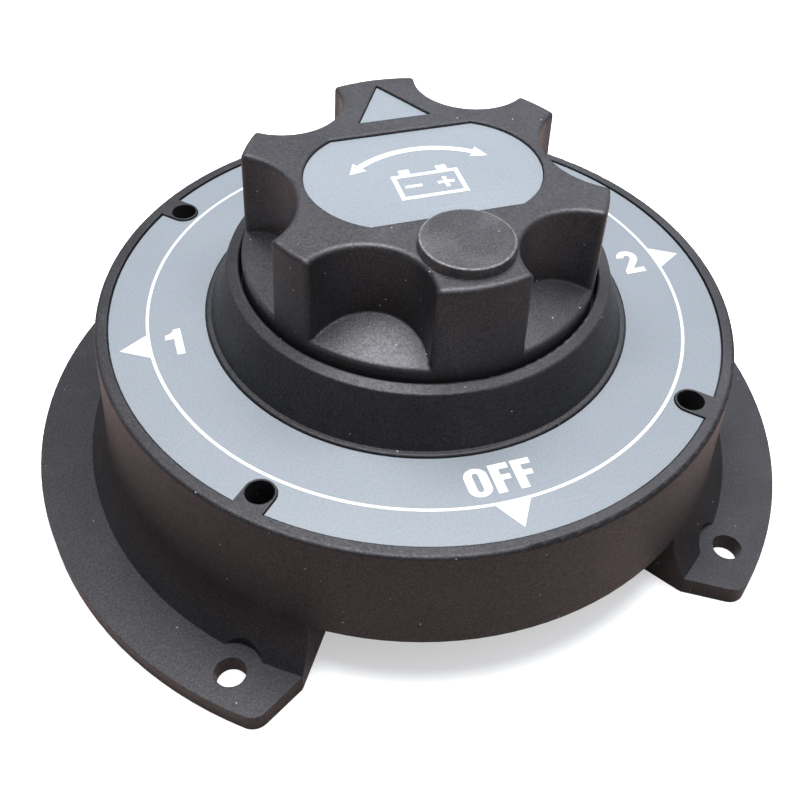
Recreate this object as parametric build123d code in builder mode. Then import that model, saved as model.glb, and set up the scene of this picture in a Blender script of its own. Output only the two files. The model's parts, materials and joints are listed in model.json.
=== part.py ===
from build123d import *
from math import cos, radians, sin, tan
import os

# A surface-mounted rotary battery switch with four positions: 1, all, 2 and off.
# Frame: origin on the knob's axis at the mounting face, +Z up along that axis.
# The pointer stands at +Y (all), battery 1 is at -X, battery 2 at +X and off at -Y.
# Lengths are millimetres and angles degrees.

os.makedirs("parts", exist_ok=True)

# ---- Heights above the mounting face ----
foot_top = 4.4
skirt_bottom = 14.7
cover_bottom = 23.0
cover_top = 27.0
island_top = 29.8
contact_top = 30.0
plate_bottom = 34.0
recess_floor = 37.3
rim_top = 38.2
roof_bottom = 41.0
roof_top = 44.0
bearing_top = 46.5
collar_top = 48.8
collar_crest = 49.65
knob_bottom = 45.0
grip_bottom = 51.0
disc_edge_top = 51.7
disc_cone_top = 55.0
shaft_top = 60.0
screw_seat = 62.5
knob_top = 69.3

# ---- Housing ----
foot_radius = 82.4
wall_foot_radius = 71.5
wall_skirt_radius = 66.9
rim_radius = 65.2
wall_thickness = 3.8
rim_rounding = 0.8
edge_rounding = 0.5
ledge_radius = 43.2
collar_base_radius = 42.1
collar_top_radius = 38.2
collar_bore_radius = 35.7
chamber_radius = 35.5
chamber_wall = 4.0
bearing_radius = 11.0
opening_half_angle = 33.6
opening_inner = 47.3
side_wall_inner = 54.0
side_wall_thickness = 3.0
foot_corner_radius = 71.7
foot_end_angle = -31.5
foot_hole_x = 52.1
foot_hole_y = 54.9
foot_hole_radius = 3.0
driver_clearance_radius = 6.1
face_hole_ring = 58.9
face_hole_radius = 2.65
face_lug_radius = 3.0
face_boss_radius = 5.5
rib_count = 12
rib_thickness = 2.0

# ---- Face label ----
label_outer_radius = 62.5
label_inner_radius = 43.4
label_thickness = 0.5
label_gap = 0.3

# ---- Knob ----
disc_radius = 35.05
disc_cone_radius = 24.0
disc_rounding = 0.8
knob_draft = 1.5
knob_top_rounding = 0.9
lobe_corner_rounding = 1.2
side_scallop_centre = 40.5
side_scallop_radius = 15.35
end_scallop_centre = 36.2
end_scallop_radius = 11.35
end_scallop_angle = 56.5
knob_wall = 3.0
knob_cavity_radius = 21.0
hub_radius = 10.0
hub_bottom = 47.5
inlay_depth = 1.0
inlay_gap = 0.15
inlay_half_height = 14.25
inlay_corner_x = 14.3
inlay_end_x = 22.8
pointer_tip_y = 31.9
pointer_base_y = 18.6
pointer_half_base = 7.6
plug_y = -23.64
plug_base_radius = 8.68
plug_top_radius = 8.27
plug_height = 1.93
plug_stem_radius = 5.5

# ---- Spindle, rotor and detent ----
shaft_radius = 7.0
shaft_flat = 5.2
shaft_bottom = 35.0
running_gap = 0.08
fit_gap = 0.05
seal_wire_radius = 0.93
rotor_radius = 33.5
rotor_bottom = 30.6
rotor_top = 40.4
carrier_ceiling = 33.8
ball_radius = 2.5
ball_ring = 28.0
ball_travel = 0.8
positions = 4

# ---- Contacts and terminals ----
contact_thickness = 3.0
common_radius = 12.0
tongue_half_width = 7.5
tongue_end = 33.0
sector_inner = 17.0
sector_outer = 32.0
sector_start = -25.0
sector_end = 82.0
bridge_half_width = 9.0
bridge_end = 30.0
bridge_thickness = 3.0
sliding_gap = 0.03
stud_ring = 24.5
stud_radius = 4.76
stud_bottom = 2.5
stud_head_radius = 7.0
stud_head_top = 29.75
stud_head_height = 1.5
nut_across_flats = 14.3
nut_height = 5.6
terminal_nut_bottom = 3.3
flat_washer_radius = 11.0
flat_washer_thickness = 1.6
lock_washer_radius = 8.4
lock_washer_thickness = 2.2

# ---- Rear cover ----
cover_radius = 47.8
island_radius = 35.0
gasket_thickness = 0.8
cover_screw_ring = 43.5
cover_screw_count = 6
screw_shank_radius = 1.9
screw_boss_radius = 4.2
barrier_bottom = 14.0
barrier_thickness = 2.4
barrier_inner = 8.0
barrier_outer = 38.0

stud_points = [(-stud_ring, 0), (stud_ring, 0), (0, -stud_ring)]
spring_points = [(0, 13.5), (0, 25.0)]
ball_points = [(-ball_ring, 0), (ball_ring, 0)]
foot_hole_points = [(x, y) for x in (-foot_hole_x, foot_hole_x) for y in (-foot_hole_y, foot_hole_y)]


# ---- Outlines that more than one piece uses ----
def foot_outline(side):
    """One crescent foot, on +X for side 1 and on -X for side -1."""
    reach = 2 * foot_radius
    with BuildSketch() as outline:
        Circle(foot_radius)
        Circle(wall_skirt_radius, mode=Mode.SUBTRACT)
        turn = radians(opening_half_angle)
        inner_corner = (side * foot_corner_radius * sin(turn), foot_corner_radius * cos(turn))
        with Locations((inner_corner[0] - side * reach / 2, 0)):
            Rectangle(reach, 2 * reach, mode=Mode.SUBTRACT)
        for end in (-1, 1):
            with Locations((inner_corner[0], end * inner_corner[1])):
                lean = -side * end * foot_end_angle
                Rectangle(reach, reach, rotation=lean, align=(Align.CENTER, (Align.MIN, Align.MAX)[end < 0]),
                          mode=Mode.SUBTRACT)
        tips = outline.vertices().filter_by(lambda v: abs(v.center().length - foot_radius) < 0.01)
        fillet(tips, 3.5)
    return outline.sketch


def grip_outline():
    """The knob's six-lobed grip at its foot, flush with the disc's side."""
    with BuildSketch() as outline:
        Circle(disc_radius + (disc_edge_top - grip_bottom) * tan(radians(knob_draft)))
        with PolarLocations(side_scallop_centre, 2):
            Circle(side_scallop_radius, mode=Mode.SUBTRACT)
        for start in (end_scallop_angle, 180 - end_scallop_angle):
            with PolarLocations(end_scallop_centre, 2, start_angle=start):
                Circle(end_scallop_radius, mode=Mode.SUBTRACT)
        fillet(outline.vertices(), lobe_corner_rounding)
    return outline.sketch


def inlay_outline(gap):
    """The label panel on the knob: two flats joined by two arcs."""
    with BuildSketch() as outline:
        with BuildLine():
            Line((-inlay_corner_x, inlay_half_height), (inlay_corner_x, inlay_half_height))
            ThreePointArc((inlay_corner_x, inlay_half_height), (inlay_end_x, 0),
                          (inlay_corner_x, -inlay_half_height))
            Line((inlay_corner_x, -inlay_half_height), (-inlay_corner_x, -inlay_half_height))
            ThreePointArc((-inlay_corner_x, -inlay_half_height), (-inlay_end_x, 0),
                          (-inlay_corner_x, inlay_half_height))
        make_face()
        if gap:
            offset(amount=-gap, kind=Kind.INTERSECTION)
    return outline.sketch


def pointer_outline(gap):
    """The triangular pointer panel on the knob."""
    with BuildSketch() as outline:
        with BuildLine():
            Polyline((0, pointer_tip_y), (pointer_half_base, pointer_base_y),
                     (-pointer_half_base, pointer_base_y), close=True)
        make_face()
        if gap:
            offset(amount=-gap, kind=Kind.INTERSECTION)
    return outline.sketch


def double_flat(gap):
    """The spindle's two-flat section."""
    with BuildSketch() as outline:
        Circle(shaft_radius + gap)
        Rectangle(2 * (shaft_flat + gap), 4 * shaft_radius, mode=Mode.INTERSECT)
    return outline.sketch


def common_outline(gap):
    """The common contact: a centre disc with a tongue to its stud."""
    with BuildSketch() as outline:
        Circle(common_radius + gap)
        with Locations((0, -tongue_end / 2)):
            Rectangle(2 * (tongue_half_width + gap), tongue_end + 2 * gap)
        ends = outline.vertices().group_by(Axis.Y)[0]
        fillet(ends, 4)
    return outline.sketch


def sector_outline(side, gap):
    """A battery contact, curved round the axis on +X for side 1 and on -X for side -1."""
    with BuildSketch() as outline:
        with BuildLine():
            outer = CenterArc((0, 0), sector_outer, sector_start, sector_end - sector_start)
            inner = CenterArc((0, 0), sector_inner, sector_start, sector_end - sector_start)
            Line(outer @ 0, inner @ 0)
            Line(outer @ 1, inner @ 1)
        make_face()
        fillet(outline.vertices(), 1.5)
        if gap:
            offset(amount=gap)
    sketch = outline.sketch
    return sketch if side > 0 else sketch.mirror(Plane.YZ)


def bridge_outline(gap):
    """The moving contact: a centre disc and one arm towards the pointer."""
    with BuildSketch() as outline:
        Circle(bridge_half_width + 0.5 + gap)
        with Locations((0, (bridge_end + gap) / 2)):
            Rectangle(2 * (bridge_half_width + gap), bridge_end + gap)
        ends = outline.vertices().group_by(Axis.Y)[-1]
        fillet(ends, 3)
    return outline.sketch


def nut_stack(bottom):
    """Three hexagon nuts with chamfered corners, one on each terminal stud."""
    corner_radius = nut_across_flats / 3**0.5
    bevel = 1.0
    with BuildPart() as nut:
        with BuildSketch(Plane.XY.offset(bottom)):
            RegularPolygon(corner_radius, 6)
        extrude(amount=nut_height)
        with BuildSketch(Plane.XZ):
            with BuildLine():
                Polyline(
                    (0, bottom), (corner_radius - bevel, bottom), (corner_radius, bottom + bevel / 2),
                    (corner_radius, bottom + nut_height - bevel / 2),
                    (corner_radius - bevel, bottom + nut_height), (0, bottom + nut_height), close=True,
                )
            make_face()
        revolve(axis=Axis.Z, mode=Mode.INTERSECT)
        with Locations((0, 0, bottom + nut_height)):
            Hole(stud_radius + fit_gap)
    with BuildPart() as nuts:
        with Locations([(x, y, 0) for x, y in stud_points]):
            add(nut.part)
    return nuts


grip = grip_outline()
foot_left = foot_outline(-1)
foot_right = foot_outline(1)


# ---- Housing: skirt, face, collar and bearing in one moulding, with two feet ----
with BuildPart() as housing:
    with BuildSketch(Plane.XZ) as section:
        with BuildLine():
            Polyline((wall_foot_radius - wall_thickness, 0), (wall_foot_radius, 0),
                     (wall_foot_radius, foot_top))
            slope = (wall_skirt_radius - rim_radius) / (rim_top - skirt_bottom)
            TangentArc((wall_skirt_radius, skirt_bottom), (wall_foot_radius, foot_top), tangent=(slope, -1))
            Polyline(
                (wall_skirt_radius, skirt_bottom), (rim_radius, rim_top),
                (label_outer_radius + label_gap, rim_top), (label_outer_radius + label_gap, recess_floor),
                (ledge_radius, recess_floor), (ledge_radius, rim_top), (collar_base_radius, rim_top),
                (collar_top_radius, collar_top), (collar_bore_radius, collar_crest),
                (collar_bore_radius, roof_top), (bearing_radius, roof_top), (bearing_radius, bearing_top),
                (shaft_radius + running_gap, bearing_top), (shaft_radius + running_gap, roof_bottom),
                (chamber_radius, roof_bottom), (chamber_radius, cover_top + gasket_thickness),
                (chamber_radius + chamber_wall, cover_top + gasket_thickness),
                (chamber_radius + chamber_wall, plate_bottom), (rim_radius - wall_thickness, plate_bottom),
                (wall_skirt_radius - wall_thickness, skirt_bottom), (wall_foot_radius - wall_thickness, 0),
            )
        make_face()
        fillet(section.vertices().sort_by_distance((rim_radius, rim_top, 0))[0], rim_rounding)
        for corner in ((ledge_radius, rim_top), (collar_top_radius, collar_top),
                       (collar_bore_radius, collar_crest)):
            fillet(section.vertices().sort_by_distance((*corner, 0))[0], edge_rounding)
    revolve(axis=Axis.Z)

    # Crescent feet, and the pillars under the four face holes.
    with BuildSketch():
        add(foot_left)
        add(foot_right)
    extrude(amount=foot_top)
    with BuildSketch():
        with PolarLocations(face_hole_ring, 4, start_angle=45):
            Circle(face_boss_radius)
    extrude(amount=plate_bottom + 1)

    # Lugs level with the rim round the face holes, open to the rim.
    with BuildSketch(Plane.XY.offset(recess_floor)):
        with PolarLocations(face_hole_ring, 4, start_angle=45):
            Circle(face_lug_radius)
        with PolarLocations((face_hole_ring + rim_radius - 1) / 2, 4, start_angle=45):
            Rectangle(rim_radius - 1 - face_hole_ring, 2 * face_lug_radius)
    extrude(amount=rim_top - recess_floor)

    # Pillars for the cover screws, and stiffening ribs under the face.
    with BuildSketch(Plane.XY.offset(cover_top)):
        with PolarLocations(cover_screw_ring, cover_screw_count, start_angle=30):
            Circle(screw_boss_radius)
    extrude(amount=plate_bottom - cover_top + 1)
    rib_inner = chamber_radius + chamber_wall / 2
    rib_outer = rim_radius - wall_thickness / 2
    with BuildSketch(Plane.XY.offset(cover_top + 2)):
        with PolarLocations((rib_inner + rib_outer) / 2, rib_count, start_angle=15):
            Rectangle(rib_outer - rib_inner, rib_thickness)
    extrude(amount=plate_bottom - cover_top - 1)

    # Radial side walls of the cable openings, run from the skirt inwards.
    for end in (90, 270):
        for turn in (end - opening_half_angle, end + opening_half_angle):
            outward = (cos(radians(turn)), sin(radians(turn)), 0)
            with BuildSketch(Plane((0, 0, 0), x_dir=outward, z_dir=(outward[1], -outward[0], 0))):
                with BuildLine():
                    skirt_middle = wall_skirt_radius - wall_thickness / 2
                    foot_middle = wall_foot_radius - wall_thickness / 2
                    Polyline((side_wall_inner, 0), (foot_middle, 0), (skirt_middle, skirt_bottom),
                             (skirt_middle, plate_bottom), (side_wall_inner, plate_bottom), close=True)
                make_face()
            extrude(amount=side_wall_thickness, both=True)

    # Cable openings through the skirt at +Y and -Y, as wide as the side walls allow.
    with BuildSketch():
        lean = tan(radians(opening_half_angle))
        for near, far in ((opening_inner, foot_radius), (-opening_inner, -foot_radius)):
            with BuildLine():
                Polyline((-lean * near, near), (lean * near, near), (lean * far, far), (-lean * far, far),
                         close=True)
            make_face()
    extrude(amount=skirt_bottom, mode=Mode.SUBTRACT)

    # Face holes, foot holes with room for a driver, and cover screw holes.
    with BuildSketch():
        with PolarLocations(face_hole_ring, 4, start_angle=45):
            Circle(face_hole_radius)
        with Locations(foot_hole_points):
            Circle(foot_hole_radius)
    extrude(amount=rim_top, mode=Mode.SUBTRACT)
    with BuildSketch(Plane.XY.offset(foot_top)):
        with Locations(foot_hole_points):
            Circle(driver_clearance_radius)
    extrude(amount=skirt_bottom - foot_top, mode=Mode.SUBTRACT)
    with BuildSketch(Plane.XY.offset(cover_top)):
        with PolarLocations(cover_screw_ring, cover_screw_count, start_angle=30):
            Circle(screw_shank_radius + fit_gap)
    extrude(amount=plate_bottom - cover_top, mode=Mode.SUBTRACT)

    # Detent dimples in the roof, one for each position.
    with Locations((0, 0, roof_bottom - ball_radius - sliding_gap + ball_travel)):
        with PolarLocations(ball_ring, positions):
            Sphere(ball_radius + fit_gap, mode=Mode.SUBTRACT)

housing.part.label = "housing"
export_step(housing.part, "parts/housing.step")


# ---- Face label: a printed ring set in the recess, notched round the face holes ----
with BuildPart() as face_label:
    with BuildSketch(Plane.XY.offset(recess_floor)):
        Circle(label_outer_radius)
        Circle(label_inner_radius, mode=Mode.SUBTRACT)
        notch = face_lug_radius + 0.15
        with PolarLocations(face_hole_ring, 4, start_angle=45):
            Circle(notch, mode=Mode.SUBTRACT)
        with PolarLocations(face_hole_ring + notch, 4, start_angle=45):
            Rectangle(2 * notch, 2 * notch, mode=Mode.SUBTRACT)
    extrude(amount=label_thickness)

face_label.part.label = "face_label"
export_step(face_label.part, "parts/face_label.step")


# ---- Knob: a hollow six-lobed grip on a round disc ----
with BuildPart() as knob:
    # The grip starts below the disc's rounded rim, so its lobes run straight into the disc's side.
    with BuildSketch(Plane.XY.offset(grip_bottom)):
        add(grip)
    extrude(amount=knob_top - grip_bottom, taper=knob_draft)
    fillet(knob.faces().sort_by(Axis.Z)[-1].edges(), knob_top_rounding)

    # The disc, with the same draft on its side and a top that rises towards the grip.
    disc_bottom_radius = disc_radius + (disc_edge_top - knob_bottom) * tan(radians(knob_draft))
    with BuildSketch(Plane.XZ) as disc_section:
        with BuildLine():
            Polyline((0, knob_bottom), (disc_bottom_radius, knob_bottom), (disc_radius, disc_edge_top),
                     (disc_cone_radius, disc_cone_top), (0, disc_cone_top), close=True)
        make_face()
        fillet(disc_section.vertices().sort_by_distance((disc_radius, disc_edge_top, 0))[0], disc_rounding)
    revolve(axis=Axis.Z)

    # Hollow underside: a wide well below the disc, then a deeper one with a hub and ribs.
    well_radius = disc_radius - knob_wall
    with BuildSketch(Plane.XZ):
        with BuildLine():
            Polyline((0, knob_bottom), (well_radius, knob_bottom), (well_radius, disc_edge_top - knob_wall),
                     (knob_cavity_radius, disc_cone_top - knob_wall), (0, disc_cone_top - knob_wall),
                     close=True)
        make_face()
    revolve(axis=Axis.Z, mode=Mode.SUBTRACT)
    well_top = knob_top - knob_wall
    with BuildSketch(Plane.XY.offset(knob_bottom)):
        Circle(knob_cavity_radius)
    extrude(amount=well_top - knob_bottom, mode=Mode.SUBTRACT)
    with BuildSketch(Plane.XY.offset(hub_bottom)):
        Circle(hub_radius)
    extrude(amount=well_top - hub_bottom)
    with BuildSketch(Plane.XY.offset(disc_cone_top)):
        with PolarLocations((hub_radius + knob_cavity_radius) / 2, 6, start_angle=30):
            Rectangle(knob_cavity_radius - hub_radius + 1, rib_thickness)
    extrude(amount=well_top - disc_cone_top)

    # Spindle socket, screw hole and the counterbore for the screw head.
    with BuildSketch(Plane.XY.offset(hub_bottom)):
        add(double_flat(fit_gap))
    extrude(amount=shaft_top + fit_gap - hub_bottom, mode=Mode.SUBTRACT)
    with Locations((0, 0, knob_top)):
        CounterBoreHole(radius=2.8, counter_bore_radius=7.4, counter_bore_depth=knob_top - screw_seat)

    # Recesses for the two inlays, and the through hole that the plug closes.
    with BuildSketch(Plane.XY.offset(knob_top - inlay_depth)):
        add(inlay_outline(0))
        add(pointer_outline(0))
    extrude(amount=inlay_depth, mode=Mode.SUBTRACT)
    with Locations((0, plug_y, knob_top)):
        Hole(plug_stem_radius + fit_gap)

knob.part.label = "knob"
export_step(knob.part, "parts/knob.step")


# ---- Knob inlays ----
with BuildPart() as knob_label:
    with BuildSketch(Plane.XY.offset(knob_top - inlay_depth)):
        add(inlay_outline(inlay_gap))
    extrude(amount=label_thickness)

knob_label.part.label = "knob_label"
export_step(knob_label.part, "parts/knob_label.step")

with BuildPart() as pointer_label:
    with BuildSketch(Plane.XY.offset(knob_top - inlay_depth)):
        add(pointer_outline(inlay_gap))
    extrude(amount=label_thickness)

pointer_label.part.label = "pointer_label"
export_step(pointer_label.part, "parts/pointer_label.step")


# ---- Blank plug that closes the lock hole in the lobe opposite the pointer ----
with BuildPart() as lock_plug:
    with BuildSketch(Plane.XZ.offset(-plug_y)):
        with BuildLine():
            Polyline(
                (0, knob_top - 7), (plug_stem_radius - 0.5, knob_top - 7), (plug_stem_radius, knob_top - 6),
                (plug_stem_radius, knob_top), (plug_base_radius, knob_top),
                (plug_top_radius + 0.15, knob_top + plug_height - 0.15),
                (plug_top_radius, knob_top + plug_height), (0, knob_top + plug_height), close=True,
            )
        make_face()
    revolve(axis=Axis((0, plug_y, 0), (0, 0, 1)))

lock_plug.part.label = "lock_plug"
export_step(lock_plug.part, "parts/lock_plug.step")


# ---- Screw and washer that hold the knob on the spindle ----
knob_washer_thickness = 1.0
knob_washer_radius = 7.0
knob_washer_bore_radius = 2.7
with BuildPart() as knob_washer:
    with BuildSketch(Plane.XY.offset(screw_seat)):
        Circle(knob_washer_radius)
        Circle(knob_washer_bore_radius, mode=Mode.SUBTRACT)
    extrude(amount=knob_washer_thickness)

knob_washer.part.label = "knob_washer"
export_step(knob_washer.part, "parts/knob_washer.step")

knob_screw_radius = 2.5
knob_screw_length = 15.0
knob_screw_head_radius = 4.6
knob_screw_head_height = 3.4
hex_socket_radius = 2.2
hex_socket_depth = 2.0
with BuildPart() as knob_screw:
    head_bottom = screw_seat + knob_washer_thickness
    head_top = head_bottom + knob_screw_head_height
    with BuildSketch(Plane.XY.offset(head_bottom)):
        Circle(knob_screw_head_radius)
    extrude(amount=knob_screw_head_height)
    fillet(knob_screw.edges().sort_by(Axis.Z)[-1], 0.8)
    with BuildSketch(Plane.XY.offset(head_bottom - knob_screw_length)):
        Circle(knob_screw_radius)
    extrude(amount=knob_screw_length)
    chamfer(knob_screw.edges().sort_by(Axis.Z)[0], 0.6)
    with BuildSketch(Plane.XY.offset(head_top - hex_socket_depth)):
        RegularPolygon(hex_socket_radius, 6)
    extrude(amount=hex_socket_depth, mode=Mode.SUBTRACT)

knob_screw.part.label = "knob_screw"
export_step(knob_screw.part, "parts/knob_screw.step")


# ---- Spindle: round in the bearing, with two flats at each end and a seal groove ----
groove_radius = shaft_radius + running_gap - 2 * seal_wire_radius - 0.06
groove_centre = (roof_bottom + bearing_top) / 2
groove_half_width = 1.2
with BuildPart() as shaft:
    with BuildSketch(Plane.XZ):
        with BuildLine():
            Polyline(
                (0, shaft_bottom), (shaft_radius, shaft_bottom),
                (shaft_radius, groove_centre - groove_half_width),
                (groove_radius, groove_centre - groove_half_width),
                (groove_radius, groove_centre + groove_half_width),
                (shaft_radius, groove_centre + groove_half_width),
                (shaft_radius, shaft_top), (0, shaft_top), close=True,
            )
        make_face()
    revolve(axis=Axis.Z)
    for low, high in ((shaft_bottom, rotor_top), (hub_bottom - 0.5, shaft_top)):
        with BuildSketch(Plane.XY.offset(low)):
            Circle(shaft_radius + 1)
            Rectangle(2 * shaft_flat, 4 * shaft_radius, mode=Mode.SUBTRACT)
        extrude(amount=high - low, mode=Mode.SUBTRACT)
    with Locations((0, 0, shaft_top)):
        Hole(knob_screw_radius + fit_gap, depth=16)

shaft.part.label = "shaft"
export_step(shaft.part, "parts/shaft.step")

with BuildPart() as shaft_seal:
    with BuildSketch(Plane.XZ):
        with Locations((shaft_radius + running_gap - seal_wire_radius - 0.03, groove_centre)):
            Circle(seal_wire_radius)
    revolve(axis=Axis.Z)

shaft_seal.part.label = "shaft_seal"
export_step(shaft_seal.part, "parts/shaft_seal.step")


# ---- Rotor: carries the moving contact, its springs and the detent balls ----
contact_spring_radius = 3.3
contact_spring_wire = 0.5
contact_spring_top = 38.6
detent_spring_radius = 1.8
detent_spring_wire = 0.3
detent_spring_bottom = 31.6
pocket_ring = 22.0
pocket_radius = 5.0
pocket_ceiling = 3.0
with BuildPart() as rotor:
    with BuildSketch(Plane.XY.offset(rotor_bottom)):
        Circle(rotor_radius)
    extrude(amount=rotor_top - rotor_bottom)
    with BuildSketch(Plane.XY.offset(rotor_bottom)):
        add(bridge_outline(0.15))
    extrude(amount=carrier_ceiling - rotor_bottom, mode=Mode.SUBTRACT)
    with BuildSketch(Plane.XY.offset(carrier_ceiling)):
        with Locations(spring_points):
            Circle(contact_spring_radius + contact_spring_wire + 0.3)
    extrude(amount=contact_spring_top - carrier_ceiling, mode=Mode.SUBTRACT)
    with BuildSketch(Plane.XY.offset(detent_spring_bottom)):
        with Locations(ball_points):
            Circle(ball_radius + fit_gap)
    extrude(amount=rotor_top - detent_spring_bottom, mode=Mode.SUBTRACT)
    with BuildSketch(Plane.XY.offset(shaft_bottom)):
        add(double_flat(fit_gap))
    extrude(amount=rotor_top - shaft_bottom, mode=Mode.SUBTRACT)
    # Coring pockets on the side away from the moving contact.
    with BuildSketch(Plane.XY.offset(rotor_bottom)):
        with PolarLocations(pocket_ring, 3, start_angle=-130, angular_range=120):
            Circle(pocket_radius)
    extrude(amount=rotor_top - rotor_bottom - pocket_ceiling, mode=Mode.SUBTRACT)

rotor.part.label = "rotor"
export_step(rotor.part, "parts/rotor.step")


# ---- Moving contact: joins the common contact to battery 1, battery 2 or both ----
bridge_bottom = contact_top + sliding_gap
with BuildPart() as moving_contact:
    with BuildSketch(Plane.XY.offset(bridge_bottom)):
        add(bridge_outline(0))
    extrude(amount=bridge_thickness)
    chamfer(moving_contact.faces().sort_by(Axis.Z)[0].edges(), 0.4)

moving_contact.part.label = "moving_contact"
export_step(moving_contact.part, "parts/moving_contact.step")


# ---- Springs over the moving contact and under the detent balls ----
def coil(point, bottom, top, radius, wire, turns):
    """A round-wire coil spring whose wire fills the height from bottom to top."""
    height = top - bottom - 2 * wire
    with BuildPart() as spring:
        with BuildLine() as path:
            Helix(pitch=height / turns, height=height, radius=radius,
                  center=(point[0], point[1], bottom + wire))
        with BuildSketch(Plane(origin=path.line @ 0, z_dir=path.line % 0)):
            Circle(wire)
        sweep(path=path.line, is_frenet=True)
    return spring.part


contact_coils = [
    coil(point, bridge_bottom + bridge_thickness + fit_gap, contact_spring_top - fit_gap,
         contact_spring_radius, contact_spring_wire, 3)
    for point in spring_points
]
with BuildPart() as contact_springs:
    add(contact_coils)

contact_springs.part.label = "contact_springs"
export_step(contact_springs.part, "parts/contact_springs.step")

ball_centre = roof_bottom - ball_radius - sliding_gap
detent_coils = [
    coil(point, detent_spring_bottom + fit_gap, ball_centre - ball_radius + 0.4,
         detent_spring_radius, detent_spring_wire, 4)
    for point in ball_points
]
with BuildPart() as detent_springs:
    add(detent_coils)

detent_springs.part.label = "detent_springs"
export_step(detent_springs.part, "parts/detent_springs.step")

with BuildPart() as detent_balls:
    with Locations([(x, y, ball_centre) for x, y in ball_points]):
        Sphere(ball_radius)

detent_balls.part.label = "detent_balls"
export_step(detent_balls.part, "parts/detent_balls.step")


# ---- Fixed contacts, each counterbored for its stud's flat head ----
def fixed_contact(outline, point):
    """A contact plate on the rear cover with its stud hole."""
    with BuildPart() as contact:
        with BuildSketch(Plane.XY.offset(contact_top - contact_thickness)):
            add(outline)
        extrude(amount=contact_thickness)
        with Locations((point[0], point[1], contact_top)):
            CounterBoreHole(radius=stud_radius + fit_gap, counter_bore_radius=stud_head_radius + 0.1,
                            counter_bore_depth=contact_top - stud_head_top + stud_head_height)
    return contact


battery_1_contact = fixed_contact(sector_outline(-1, 0), stud_points[0])
battery_1_contact.part.label = "battery_1_contact"
export_step(battery_1_contact.part, "parts/battery_1_contact.step")

battery_2_contact = fixed_contact(sector_outline(1, 0), stud_points[1])
battery_2_contact.part.label = "battery_2_contact"
export_step(battery_2_contact.part, "parts/battery_2_contact.step")

common_contact = fixed_contact(common_outline(0), stud_points[2])
common_contact.part.label = "common_contact"
export_step(common_contact.part, "parts/common_contact.step")


# ---- Rear cover: closes the contact chamber and carries the contacts ----
with BuildPart() as rear_cover:
    with BuildSketch(Plane.XY.offset(cover_bottom)):
        Circle(cover_radius)
    extrude(amount=cover_top - cover_bottom)
    with BuildSketch(Plane.XY.offset(cover_top)):
        Circle(island_radius)
        add(common_outline(0.15), mode=Mode.SUBTRACT)
        add(sector_outline(1, 0.15), mode=Mode.SUBTRACT)
        add(sector_outline(-1, 0.15), mode=Mode.SUBTRACT)
    extrude(amount=island_top - cover_top)

    # Insulating barriers between the terminals, below the cover.
    with BuildSketch(Plane.XY.offset(barrier_bottom)):
        for angle in (-135, -45, 90):
            with PolarLocations((barrier_inner + barrier_outer) / 2, 1, start_angle=angle):
                Rectangle(barrier_outer - barrier_inner, barrier_thickness)
    extrude(amount=cover_bottom - barrier_bottom)

    # Stud holes and screw holes.
    with BuildSketch(Plane.XY.offset(cover_bottom)):
        with Locations(stud_points):
            Circle(stud_radius + 0.15)
        with PolarLocations(cover_screw_ring, cover_screw_count, start_angle=30):
            Circle(screw_shank_radius + 0.3)
    extrude(amount=cover_top - cover_bottom, mode=Mode.SUBTRACT)

rear_cover.part.label = "rear_cover"
export_step(rear_cover.part, "parts/rear_cover.step")

with BuildPart() as cover_gasket:
    with BuildSketch(Plane.XY.offset(cover_top)):
        Circle(chamber_radius + chamber_wall - 0.2)
        Circle(island_radius + 0.3, mode=Mode.SUBTRACT)
        with PolarLocations(cover_screw_ring, cover_screw_count, start_angle=30):
            Circle(screw_boss_radius + 0.1, mode=Mode.SUBTRACT)
    extrude(amount=gasket_thickness)

cover_gasket.part.label = "cover_gasket"
export_step(cover_gasket.part, "parts/cover_gasket.step")

screw_head_height = 2.4
screw_head_radius = 3.8
screw_length = 10.0
slot_length = 4.0
slot_width = 0.9
slot_depth = 1.4
with BuildPart() as cover_screws:
    with BuildSketch(Plane.XY.offset(cover_bottom - screw_head_height)):
        with PolarLocations(cover_screw_ring, cover_screw_count, start_angle=30):
            Circle(screw_head_radius)
    extrude(amount=screw_head_height)
    fillet(cover_screws.edges().group_by(Axis.Z)[0], 0.9)
    with BuildSketch(Plane.XY.offset(cover_bottom)):
        with PolarLocations(cover_screw_ring, cover_screw_count, start_angle=30):
            Circle(screw_shank_radius)
    extrude(amount=screw_length)
    with BuildSketch(Plane.XY.offset(cover_bottom - screw_head_height)):
        with PolarLocations(cover_screw_ring, cover_screw_count, start_angle=30):
            Rectangle(slot_length, slot_width)
            Rectangle(slot_width, slot_length)
    extrude(amount=slot_depth, mode=Mode.SUBTRACT)

cover_screws.part.label = "cover_screws"
export_step(cover_screws.part, "parts/cover_screws.step")


# ---- Terminal hardware: three studs with seat nuts, washers and terminal nuts ----
with BuildPart() as terminal_studs:
    for point in stud_points:
        with BuildSketch(Plane.XY.offset(stud_bottom)):
            with Locations(point):
                Circle(stud_radius)
        extrude(amount=stud_head_top - stud_head_height - stud_bottom)
        with BuildSketch(Plane.XY.offset(stud_head_top - stud_head_height)):
            with Locations(point):
                Circle(stud_head_radius)
        extrude(amount=stud_head_height)
    chamfer(terminal_studs.edges().group_by(Axis.Z)[0], 0.8)

terminal_studs.part.label = "terminal_studs"
export_step(terminal_studs.part, "parts/terminal_studs.step")

seat_nuts = nut_stack(cover_bottom - nut_height)
seat_nuts.part.label = "seat_nuts"
export_step(seat_nuts.part, "parts/seat_nuts.step")

terminal_nuts = nut_stack(terminal_nut_bottom)
terminal_nuts.part.label = "terminal_nuts"
export_step(terminal_nuts.part, "parts/terminal_nuts.step")

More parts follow.
